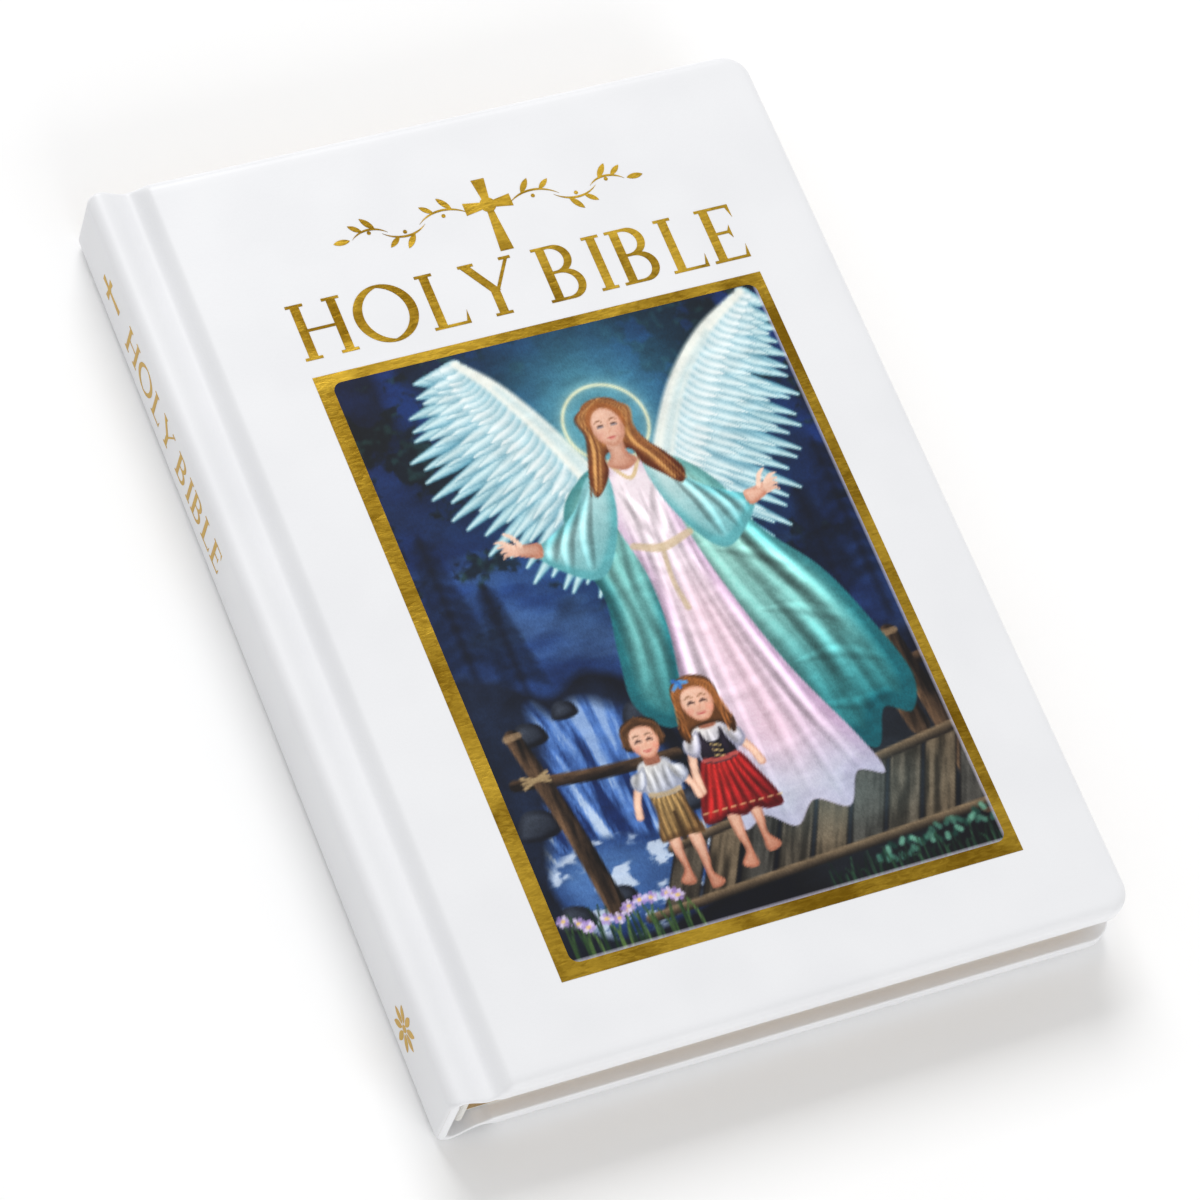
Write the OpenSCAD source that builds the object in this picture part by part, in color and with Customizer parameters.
// Padded, case-bound bible lying closed on its back cover.
// X runs from the spine (-) to the fore-edge (+), Y from the tail (-) to the head (+), Z up.
// The origin is on the table, under the middle of the book.

/* [Book] */
// Width from the spine to the fore-edge of the covers
book_w = 135; // [110:1:170]
// Height from the tail to the head of the covers
book_h = 190; // [160:1:240]
// Thickness of the sewn text block with its two flyleaves
block_t = 8.2; // [6:0.2:14]
// Overhang of the covers past the leaves at head, tail and fore-edge
square_w = 3; // [2:0.5:5]
// Number of sewn signatures
signatures = 10; // [10]
// Radius of the rounded leaf corners
leaf_corner_r = 3; // [1:0.5:4]

/* [Covers] */
// Thickness of the cover boards
board_t = 2.4; // [1.6:0.1:3.2]
// Thickness of the foam padding
pad_t = 1.5; // [1:0.1:3]
// Thickness of the leatherette covering
skin_t = 0.35; // [0.2:0.05:0.6]
// Thickness of an endpaper sheet
paper_t = 0.15; // [0.1:0.01:0.25]
// Radius of the rounded cover corners at the fore-edge
cover_corner_r = 5.25; // [4:0.25:10]
// Rounding of the padded edges
edge_r = 1.75; // [1.2:0.05:1.8]
// Distance from the spine face to the edge of the boards
joint_w = 10.15; // [8:0.05:14]
// Width of the covering turned in over the boards
turn_in_w = 15; // [8:1:20]

/* [Spine] */
// Thickness of the spine board
spine_board_t = 1.6; // [1:0.1:2.4]
// Radius of the soft spine shoulders
shoulder_r = 2.54; // [2:0.02:3]
// Depth of the grooves beside the spine
groove_d = 3; // [1.5:0.1:3.2]
// Distance from the spine face to the folds of the signatures
block_x = 3.6; // [3.4:0.1:5]

/* [Stamping and print] */
// Thickness of the foil and of the printed picture
foil_t = 0.06; // [0.04:0.01:0.1]
// Width of the gold frame
frame_w = 91.6; // [80:0.2:100]
// Height of the gold frame
frame_h = 125.9; // [100:0.1:130]
// Distance from the gold frame to the fore-edge and to the tail
frame_gap = 16.2; // [12:0.1:20]
// Corner radius of the picture
picture_corner_r = 1.9; // [1:0.1:4]
// Height of the title's capitals
title_h = 12; // [8:0.1:12]
// Height of the capitals on the spine
spine_title_h = 6.6; // [4:0.1:7]

/* [Hidden] */
$fn = 64;

cover_t = paper_t + board_t + pad_t + skin_t;
book_t = 2 * cover_t + block_t;
x_spine = -book_w / 2;
x_fore = book_w / 2;
y_head = book_h / 2;
x_board = x_spine + joint_w;
x_fold = x_spine + block_x;
x_leaf = x_fore - square_w;
y_leaf = y_head - square_w;
z_block = cover_t;
z_block_top = cover_t + block_t;
leaf_gap = 0.02;
flyleaf_t = 0.13;
signature_t = (block_t - 2 * (flyleaf_t + leaf_gap)) / signatures;
white = [0.95, 0.95, 0.96];
gold = [0.62, 0.48, 0.16];
paper = [0.94, 0.92, 0.87];

// Layers on the back of the folds, counted from the spine face
lining_x = 2.7;
mull_x = 2.9;
glue_x = 3.2;
back_layers_gap = 0.15;
thread_r = 0.11;
stations = [-80, -48, -42, -3, 3, 42, 48, 80];

// Picture and title places
frame_x1 = x_fore - frame_gap;
frame_x0 = frame_x1 - frame_w;
frame_y0 = -y_head + frame_gap;
frame_y1 = frame_y0 + frame_h;
band = [3, 2.75, 2.1, 2.1]; // left, tail, fore-edge and head bands of the frame
picture_x0 = frame_x0 + band[0];
picture_y0 = frame_y0 + band[1];
picture_w = frame_w - band[0] - band[2];
picture_h = frame_h - band[1] - band[3];
title_y = frame_y1 + 3.6;
ornament_y = title_y + title_h + 11.4;
spine_face_z = book_t / 2;

// ---- shared shapes ----

// Outline of a sheet or board whose two fore-edge corners are rounded
module plate(x0, x1, hy, r) {
    translate([x0, -hy]) square([x1 - x0 - r, 2 * hy]);
    translate([x0, r - hy]) square([x1 - x0, 2 * (hy - r)]);
    for (s = [-1, 1]) translate([x1 - r, s * (hy - r)]) circle(r);
}

// Cross-section of a padded slab: flat below, its two upper edges rounded
module soft_section(a, b, z0, z1, re) {
    translate([a, z0]) square([b - a, z1 - z0 - re]);
    translate([a + re, z0]) square([b - a - 2 * re, z1 - z0]);
    intersection() {
        for (p = [a + re, b - re]) translate([p, z1 - re]) circle(re);
        translate([a, z0]) square([b - a, z1 - z0]);
    }
}

// Padded slab with soft upper edges and two rounded fore-edge corners
module soft_slab(x0, x1, hy, z0, z1, rc, re) {
    difference() {
        intersection() {
            translate([0, hy, 0]) rotate([90, 0, 0]) linear_extrude(2 * hy) soft_section(x0, x1, z0, z1, re);
            translate([x0, 0, 0]) rotate([90, 0, 90]) linear_extrude(x1 - x0) soft_section(-hy, hy, z0, z1, re);
        }
        for (s = [-1, 1])
            translate([x1 - rc, s * (hy - rc / 2) - rc / 2, z0 - 1]) cube([rc + 1, rc, z1 - z0 + 2]);
    }
    for (s = [0, 1]) mirror([0, s, 0])
        translate([x1 - rc, hy - rc, 0]) intersection() {
            rotate_extrude() {
                translate([0, z0]) square([rc, z1 - z0 - re]);
                translate([0, z0]) square([rc - re, z1 - z0]);
                translate([rc - re, z1 - re]) circle(re);
            }
            translate([0, 0, z0]) cube([rc, rc, z1 - z0]);
        }
}

// Places a cover's pieces, modelled as the front cover, as the back cover
module as_back() {
    translate([0, 0, book_t]) mirror([0, 0, 1]) children();
}

// ---- covers, modelled as the front cover ----

module cover_board() {
    z0 = z_block_top + paper_t;
    inset = turn_in_w + skin_t;
    translate([0, 0, z0 + skin_t]) linear_extrude(board_t - skin_t)
        plate(x_board + skin_t, x_fore - skin_t, y_head - skin_t, cover_corner_r - skin_t);
    // the middle stands proud, because the turned-in covering is pressed into the rim
    translate([x_board + skin_t, inset - y_head, z0])
        cube([x_fore - inset - x_board - skin_t, 2 * (y_head - inset), skin_t]);
}

module cover_pad() {
    soft_slab(x_board + skin_t, x_fore - skin_t, y_head - skin_t, book_t - skin_t - pad_t, book_t - skin_t,
        cover_corner_r - skin_t, edge_r - skin_t);
}

module cover_skin() {
    z0 = z_block_top + paper_t;
    inset = turn_in_w + skin_t;
    difference() {
        soft_slab(x_board, x_fore, y_head, z0, book_t, cover_corner_r, edge_r);
        soft_slab(x_board + skin_t, x_fore - skin_t, y_head - skin_t, z0 + skin_t, book_t - skin_t,
            cover_corner_r - skin_t, edge_r - skin_t);
        translate([x_board - 1, inset - y_head, z0 - 1])
            cube([x_fore - inset - x_board + 1, 2 * (y_head - inset), skin_t + 1.5]);
        // below the joint cloth the board's edge is bare
        translate([x_board - 1, -y_head - 1, z0 - 1]) cube([skin_t + 1, book_h + 2, 2.5]);
    }
}

module cover_pastedown() {
    translate([0, 0, z_block_top]) linear_extrude(paper_t) plate(x_fold + 0.2, x_leaf, y_leaf, leaf_corner_r);
}

module front_board() { color([0.72, 0.66, 0.56]) cover_board(); }
module back_board() { color([0.72, 0.66, 0.56]) as_back() cover_board(); }
module front_pad() { color([0.9, 0.88, 0.8]) cover_pad(); }
module back_pad() { color([0.9, 0.88, 0.8]) as_back() cover_pad(); }
module front_cover_skin() { color(white) cover_skin(); }
module back_cover_skin() { color(white) as_back() cover_skin(); }
module front_pastedown() { color(paper) cover_pastedown(); }
module back_pastedown() { color(paper) as_back() cover_pastedown(); }

// ---- spine and joints ----

// Cross-section of the spine's covering, out to a depth from its outer face
module spine_section(depth) {
    r = shoulder_r - depth;
    c = shoulder_r + foil_t;
    translate([foil_t + depth, c]) square([r + 0.01, book_t - 2 * c]);
    for (z = [c, book_t - c]) translate([c, z]) circle(r);
}

// Sweeps a cross-section drawn in X and Z along the whole book
module along_book(h) {
    translate([x_spine, h / 2, 0]) rotate([90, 0, 0]) linear_extrude(h) children();
}

module spine_skin() {
    c = shoulder_r + foil_t;
    color(white) along_book(book_h) difference() {
        spine_section(0);
        spine_section(skin_t - foil_t);
        translate([c, -1]) square([shoulder_r + 1, book_t + 2]);
        translate([skin_t + 0.01, c]) square([shoulder_r, book_t - 2 * c]);
    }
}

module spine_board() {
    rim = 1.1;
    color([0.72, 0.66, 0.56]) along_book(book_h - 2 * skin_t) intersection() {
        spine_section(skin_t - foil_t + 0.02);
        translate([0, rim]) square([skin_t + spine_board_t, book_t - 2 * rim]);
    }
}

// Height of the joint cloth's outer face at u, from 0 at the spine to 1 at the board
low = 0.66;
cloth_rise = 0.6;
function cloth_z(u) = u < low
    ? book_t - foil_t - groove_d * (1 - cos(180 * u / low)) / 2
    : book_t - foil_t - groove_d + cloth_rise * (1 - cos(180 * (u - low) / (1 - low))) / 2;

module joint_cloth() {
    x0 = shoulder_r + foil_t;
    steps = 24;
    cloth_t = skin_t - foil_t;
    top = [for (i = [0:steps]) [x0 + (joint_w - x0) * i / steps, cloth_z(i / steps)]];
    under = [for (i = [steps:-1:0]) [top[i][0], top[i][1] - cloth_t]];
    color(white) along_book(book_h) polygon(concat(top, under));
}

module front_joint_cloth() { joint_cloth(); }
module back_joint_cloth() { as_back() joint_cloth(); }

// ---- text block ----

module leaf(z, t) {
    translate([0, 0, z]) linear_extrude(t) plate(x_fold, x_leaf, y_leaf, leaf_corner_r);
}

module signature(i) {
    z = z_block + flyleaf_t + 1.5 * leaf_gap + (i - 1) * signature_t;
    color(paper) leaf(z, signature_t - leaf_gap);
}

module back_flyleaf() { color(white) leaf(z_block, flyleaf_t); }
module front_flyleaf() { color(white) leaf(z_block_top - leaf_gap - flyleaf_t, flyleaf_t); }

// A flat layer on the back of the folds, from one distance behind the spine face to the next
module back_layer(from, to, hy) {
    translate([x_spine + from, -hy, z_block + back_layers_gap])
        cube([to - from, 2 * hy, block_t - 2 * back_layers_gap]);
}

// The stitches that cross the folds at the sewing stations
module stitches(r, over) {
    for (y = stations)
        translate([x_spine + (glue_x + block_x) / 2, y, z_block + 0.4 - over])
            cylinder(h = block_t - 0.8 + 2 * over, r = r);
}

module sewing_threads() { color([0.96, 0.95, 0.9]) stitches(thread_r, 0); }

module spine_glue() {
    color([0.9, 0.85, 0.66]) difference() {
        back_layer(glue_x, block_x - 0.02, y_leaf - 0.5);
        stitches(thread_r + 0.01, 0.01);
    }
}

module mull() { color([0.93, 0.92, 0.88]) back_layer(mull_x, glue_x, y_leaf - 12); }
module spine_lining() { color([0.75, 0.68, 0.55]) back_layer(lining_x, mull_x, y_leaf - 1); }

// Woven bead at one end of the block, with its ribbon glued behind the lining
module end_band() {
    bead_r = 0.8;
    ribbon_t = 0.15;
    z0 = z_block + 0.3;
    h = block_t - 0.6;
    translate([x_fold + bead_r, y_leaf + bead_r + 0.05, z0]) cylinder(h = h, r = bead_r);
    translate([x_spine + lining_x - ribbon_t, y_leaf - 8, z0]) cube([ribbon_t, 8.3 + bead_r, h]);
    translate([x_spine + lining_x - ribbon_t, y_leaf + 0.3, z0])
        cube([block_x + bead_r - lining_x + ribbon_t, bead_r, h]);
}

module headband() { color(white) end_band(); }
module tailband() { color(white) mirror([0, 1, 0]) end_band(); }

// ---- picture, frame and stamping ----

module rounded_box(w, h, r) {
    translate([r, 0]) square([w - 2 * r, h]);
    translate([0, r]) square([w, h - 2 * r]);
    for (x = [r, w - r], y = [r, h - r]) translate([x, y]) circle(r);
}

module on_cover() {
    translate([0, 0, book_t]) linear_extrude(foil_t) children();
}

module picture_print() {
    gap = 0.01;
    color([0.2, 0.35, 0.5]) on_cover() translate([picture_x0 + gap, picture_y0 + gap])
        rounded_box(picture_w - 2 * gap, picture_h - 2 * gap, picture_corner_r);
}

module foil_frame() {
    color(gold) on_cover() difference() {
        translate([frame_x0, frame_y0]) square([frame_w, frame_h]);
        translate([picture_x0, picture_y0]) rounded_box(picture_w, picture_h, picture_corner_r);
    }
}

// Roman capitals, one unit high, their left side at x = 0
stem = 0.15;
hair = 0.05;
serif = 0.07;

module upright(x) {
    translate([x, 0]) square([stem, 1]);
    for (y = [0, 1 - hair]) translate([x - serif, y]) square([stem + 2 * serif, hair]);
}

// Arm of an E or an L, ending in a small wedge that points up or down
module arm(y, w, tick) {
    translate([0, y]) square([w, hair]);
    polygon([[w, y], [w, y + hair], [w, y + hair / 2 + tick], [w - 0.07, y + hair / 2]]);
}

// Bowl of a B between two heights
module bowl(y0, y1, x) {
    r = (y1 - y0) / 2;
    difference() {
        union() {
            translate([x, y0 + r]) circle(r);
            translate([stem / 2, y0]) square([x - stem / 2, 2 * r]);
        }
        translate([x - stem * 0.55, y0 + r]) circle(r - hair);
        translate([stem / 4, y0 + hair]) square([x - stem * 0.8, 2 * (r - hair)]);
    }
}

// Stroke between two points with level ends
module slant(a, b, w) {
    polygon([a, [a[0] + w, a[1]], [b[0] + w, b[1]], b]);
}

module letter_h() {
    upright(0);
    upright(0.6);
    translate([0, 0.49]) square([0.7, hair]);
}

module letter_o() {
    translate([0.49, 0.5]) difference() {
        circle(0.52);
        intersection_for(s = [-1, 1]) translate([s * 0.12, 0]) circle(0.484);
    }
}

module letter_l() {
    upright(0);
    arm(0, 0.54, 0.22);
}

module letter_y() {
    slant([0, 1 - hair], [0.34, 0.44], stem * 1.1);
    slant([0.74, 1 - hair], [0.42, 0.44], hair * 1.3);
    translate([0.335, 0]) square([stem, 0.46]);
    translate([0.335 - serif, 0]) square([stem + 2 * serif, hair]);
    translate([-serif / 2, 1 - hair]) square([stem + 1.6 * serif, hair]);
    translate([0.66, 1 - hair]) square([0.2, hair]);
}

module letter_b() {
    upright(0);
    bowl(0, 0.54, 0.33);
    bowl(0.54 - hair, 1, 0.28);
}

module letter_i() { upright(0); }

module letter_e() {
    upright(0);
    arm(0, 0.54, 0.22);
    arm(0.49, 0.4, 0.12);
    arm(0.49, 0.4, -0.12);
    arm(1 - hair, 0.52, -0.22);
}

// Left sides of the title's letters, in capital heights, and the title's whole width
letter_x = [0.07, 1.02, 2.23, 2.93, 4.21, 5.08, 5.48, 6.33, 7.05];
title_units = 7.6;

module title_words() {
    translate([letter_x[0], 0]) letter_h();
    translate([letter_x[1], 0]) letter_o();
    translate([letter_x[2], 0]) letter_l();
    translate([letter_x[3], 0]) letter_y();
    translate([letter_x[4], 0]) letter_b();
    translate([letter_x[5], 0]) letter_i();
    translate([letter_x[6], 0]) letter_b();
    translate([letter_x[7], 0]) letter_l();
    translate([letter_x[8], 0]) letter_e();
}

module title_foil() {
    color(gold) on_cover()
        translate([(frame_x0 + frame_x1 - title_units * title_h) / 2, title_y]) scale(title_h) title_words();
}

// Leaf with pointed ends, lying along X from the origin
module pointed_leaf(l, w) {
    r = (l * l / 4 + w * w / 4) / w;
    translate([l / 2, 0]) intersection_for(s = [-1, 1]) translate([0, s * (r - w / 2)]) circle(r);
}

// Crescent stroke that swells in its middle: it spans l and rises by h
module crescent(l, h, w) {
    outer_h = h + w;
    ro = (l * l / 4 + outer_h * outer_h) / (2 * outer_h);
    ri = (l * l / 4 + h * h) / (2 * h);
    translate([l / 2, 0]) difference() {
        intersection() {
            translate([0, outer_h - ro]) circle(ro);
            translate([-l / 2, 0]) square([l, outer_h + 1]);
        }
        translate([0, h - ri]) circle(ri);
    }
}

// Latin cross with wedge-shaped ends, centred on its crossing
module cross(h) {
    arms = [[0, 0.36], [90, 0.3], [180, 0.64], [270, 0.3]];
    thin = 0.035 * h;
    wide = 0.085 * h;
    for (a = arms) rotate(a[0]) polygon([[-thin, 0], [-wide, a[1] * h], [wide, a[1] * h], [thin, 0]]);
    circle(0.1 * h);
}

// One side of the vine beside the cross
module vine() {
    tops = [[5, 13, 2.2, 1], [16.5, 11, 1.8, -1], [26, 9, 1.5, 1]];
    for (t = tops) translate([t[0], -1.2]) mirror([0, t[3] < 0 ? 1 : 0]) {
        crescent(t[1], t[2], 0.55);
        translate([t[1] * 0.3, t[2]]) rotate(52) pointed_leaf(4.6, 1.5);
        translate([t[1] * 0.66, t[2]]) rotate(38) pointed_leaf(3.8, 1.3);
        translate([t[1] * 0.5, 0.9]) circle(0.5);
    }
    translate([35.6, -1.2]) pointed_leaf(4.2, 1.5);
}

module title_ornament_foil() {
    color(gold) on_cover() translate([(frame_x0 + frame_x1) / 2, ornament_y]) {
        cross(16);
        for (s = [0, 1]) mirror([s, 0]) scale(0.8) vine();
    }
}

// Puts a flat drawing on the spine's face, its X running from head to tail
module on_spine(y) {
    translate([x_spine, y, spine_face_z]) rotate([0, -90, 0]) rotate([0, 0, -90])
        translate([0, 0, -foil_t]) linear_extrude(foil_t) children();
}

module spine_title_foil() {
    color(gold) on_spine(69) translate([0, -spine_title_h / 2]) scale(spine_title_h) title_words();
}

module spine_ornament_foil() {
    color(gold) {
        on_spine(79) rotate(90) cross(8.4);
        on_spine(-76) for (a = [0:45:315]) rotate(a) translate([1, 0]) pointed_leaf(3.6, 1.5);
        on_spine(-76) circle(0.8);
    }
}

// ---- drawing ----

front_board();
front_pad();
front_cover_skin();
front_pastedown();
front_flyleaf();
back_board();
back_pad();
back_cover_skin();
back_pastedown();
back_flyleaf();
spine_board();
spine_skin();
front_joint_cloth();
back_joint_cloth();
signature(1);  // signature_01
signature(2);  // signature_02
signature(3);  // signature_03
signature(4);  // signature_04
signature(5);  // signature_05
signature(6);  // signature_06
signature(7);  // signature_07
signature(8);  // signature_08
signature(9);  // signature_09
signature(10);  // signature_10
sewing_threads();
spine_glue();
mull();
spine_lining();
headband();
tailband();
picture_print();
foil_frame();
title_foil();
title_ornament_foil();
spine_title_foil();
spine_ornament_foil();
